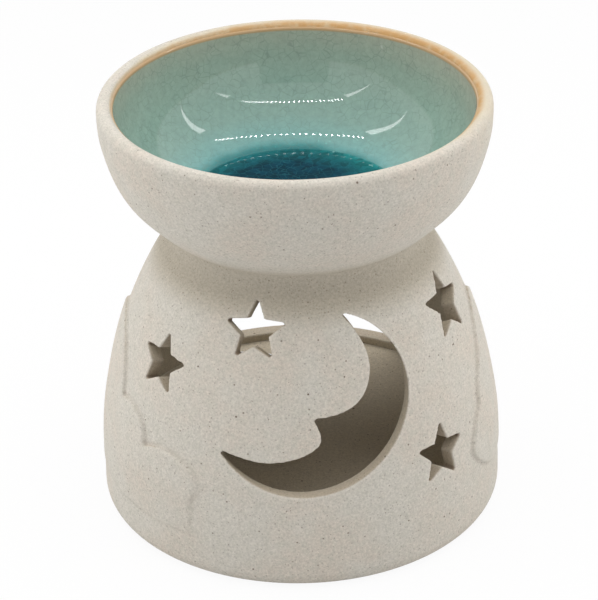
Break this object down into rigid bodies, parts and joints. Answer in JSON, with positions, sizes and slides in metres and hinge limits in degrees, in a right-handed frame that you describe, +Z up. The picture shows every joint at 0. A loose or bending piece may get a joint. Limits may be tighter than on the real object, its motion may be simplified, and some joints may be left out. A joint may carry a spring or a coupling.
{
  "type": "essential oil burner",
  "caption": "Hollow stoneware dome with a crescent moon and stars cut through its wall, cloud reliefs, a rear doorway for a tealight and a shallow glazed oil bowl on top.",
  "frame": {"origin": "middle of the foot, on the surface that the burner stands on", "axes": "+Z up along the pot's axis, -Y towards the side with the moon, +Y towards the tealight doorway, +X to the right of someone who faces the moon"},
  "size_m": [0.1212, 0.121, 0.13],
  "materials": {
    "stoneware": "matt glaze",
    "celadon_glaze": "gloss",
    "teal_glass": "gloss",
    "cup_metal": "bright",
    "wax": "satin",
    "sustainer_metal": "bright",
    "wick_cotton": "waxed"
  },
  "bodies": {
    "burner": {"lantern_shell": "stoneware", "base_floor": "stoneware", "left_cloud": "stoneware", "right_cloud": "stoneware", "oil_bowl": "stoneware", "bowl_glaze": "celadon_glaze", "glass_pool": "teal_glass"},
    "tealight": {"tealight_cup": "cup_metal", "tealight_wax": "wax", "wick_sustainer": "sustainer_metal", "tealight_wick": "wick_cotton"}
  },
  "joints": [
    {"name": "tealight_out", "type": "slide", "parent": "burner", "child": "tealight", "axis": [0.3368, 0.9254, 0.1736], "range_m": [0, 0.084]}
  ]
}
